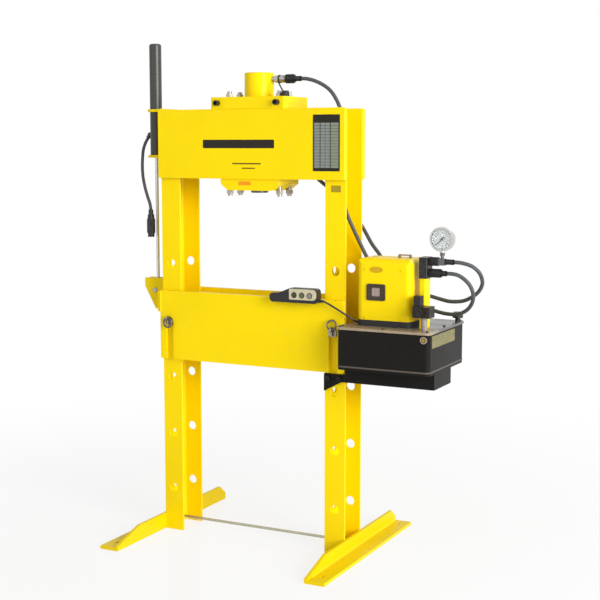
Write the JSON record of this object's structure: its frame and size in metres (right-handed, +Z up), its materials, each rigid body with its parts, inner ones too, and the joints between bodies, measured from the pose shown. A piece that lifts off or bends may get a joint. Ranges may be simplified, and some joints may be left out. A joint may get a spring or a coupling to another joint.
{
  "type": "hydraulic workshop press",
  "caption": "Welded H-frame shop press with an overhead hydraulic cylinder, a pinned lifting bed, an electric pump on a side shelf and a wired pendant.",
  "frame": {"origin": "on the floor under the ram's axis, at the middle of the four anchor holes", "axes": "+X towards the pump shelf, +Y to the back, +Z up along the ram's axis"},
  "size_m": [1.6244, 0.928, 2.184],
  "materials": {
    "yellow_paint": "gloss",
    "black_paint": "satin",
    "lid_paint": "satin",
    "plated_steel": "bright zinc",
    "ground_steel": "ground",
    "blackened_steel": "oxide",
    "hose_rubber": "matt",
    "cord_rubber": "matt",
    "black_plastic": "moulded",
    "motor_casting": "cast",
    "gauge_glass": "clear",
    "green_button": "moulded",
    "grey_button": "moulded"
  },
  "bodies": {
    "frame": {"upright_left": "yellow_paint", "upright_right": "yellow_paint", "foot_left": "yellow_paint", "foot_right": "yellow_paint", "base_tie_rod": "plated_steel", "bolster_front": "yellow_paint", "bolster_rear": "yellow_paint", "head_top_plate": "yellow_paint", "head_bottom_plate": "yellow_paint", "head_tie_rods": "plated_steel", "socket_screws": "blackened_steel", "cylinder_barrel": "yellow_paint", "cylinder_gland": "ground_steel", "quick_couplers": "plated_steel", "hose_fittings": "blackened_steel", "dust_cap": "cord_rubber", "advance_hose": "hose_rubber", "retract_hose": "hose_rubber", "lift_barrel": "black_paint", "lift_mount": "yellow_paint", "lift_hose": "hose_rubber", "lift_coupler": "blackened_steel", "shelf_arm_front": "black_paint", "shelf_arm_rear": "black_paint", "shelf_cross_plates": "black_paint", "reservoir": "black_paint", "reservoir_lid": "lid_paint", "breather_cap": "black_plastic", "pump_element": "motor_casting", "motor_shroud": "yellow_paint", "motor_body": "motor_casting", "lifting_handle": "blackened_steel", "valve_manifold": "yellow_paint", "valve_head": "blackened_steel", "solenoid_coil": "black_plastic", "gauge_adaptor": "plated_steel", "gauge_case": "plated_steel", "gauge_lens": "gauge_glass", "cord_glands": "black_plastic", "pendant_cord": "cord_rubber", "pendant_coil": "cord_rubber"},
    "ram": {"ram": "ground_steel", "ram_saddle": "blackened_steel"},
    "bed": {"bed_front": "yellow_paint", "bed_rear": "yellow_paint", "bed_spacers": "yellow_paint", "bed_lift_bracket": "yellow_paint", "lift_rod": "ground_steel", "lift_clevis_pin": "plated_steel", "pendant_body": "black_plastic", "pendant_lead": "cord_rubber"},
    "pin_left": {"bed_pin_left": "ground_steel"},
    "pin_right": {"bed_pin_right": "ground_steel"},
    "ring_left": {"pull_ring_left": "blackened_steel"},
    "ring_right": {"pull_ring_right": "blackened_steel"},
    "rotor": {"motor_rotor": "ground_steel"},
    "needle": {"gauge_needle": "black_plastic"},
    "button_start_key": {"button_start": "green_button"},
    "button_advance_key": {"button_advance": "green_button"},
    "button_retract_key": {"button_retract": "grey_button"}
  },
  "joints": [
    {"name": "ram_stroke", "type": "slide", "parent": "frame", "child": "ram", "axis": [0, 0, -1], "range_m": [0, 0.334]},
    {"name": "bed_lift", "type": "slide", "parent": "frame", "child": "bed", "axis": [0, 0, 1], "range_m": [0, 0.25]},
    {"name": "left_pin_pull", "type": "slide", "parent": "frame", "child": "pin_left", "axis": [0, -1, 0], "range_m": [0, 0.22]},
    {"name": "right_pin_pull", "type": "slide", "parent": "frame", "child": "pin_right", "axis": [0, -1, 0], "range_m": [0, 0.22]},
    {"name": "left_ring_swing", "type": "hinge", "parent": "pin_left", "child": "ring_left", "pos_m": [-0.4015, -0.124, 0.974], "axis": [1, 0, 0], "range_deg": [-190, 8]},
    {"name": "right_ring_swing", "type": "hinge", "parent": "pin_right", "child": "ring_right", "pos_m": [0.4015, -0.124, 0.974], "axis": [1, 0, 0], "range_deg": [0, 198]},
    {"name": "motor_spin", "type": "hinge", "parent": "frame", "child": "rotor", "pos_m": [0.635, -0.04, 1.1], "axis": [0, 0, 1], "continuous": true},
    {"name": "gauge_sweep", "type": "hinge", "parent": "frame", "child": "needle", "pos_m": [0.866, -0.066, 1.364], "axis": [0, 1, 0], "range_deg": [0, 270]},
    {"name": "button_start_press", "type": "slide", "parent": "bed", "child": "button_start_key", "axis": [0, 1, 0], "range_m": [0, 0.003], "stiffness_N_per_m": 600, "springref_m": -0.001},
    {"name": "button_advance_press", "type": "slide", "parent": "bed", "child": "button_advance_key", "axis": [0, 1, 0], "range_m": [0, 0.003], "stiffness_N_per_m": 600, "springref_m": -0.001},
    {"name": "button_retract_press", "type": "slide", "parent": "bed", "child": "button_retract_key", "axis": [0, 1, 0], "range_m": [0, 0.003], "stiffness_N_per_m": 600, "springref_m": -0.001}
  ]
}
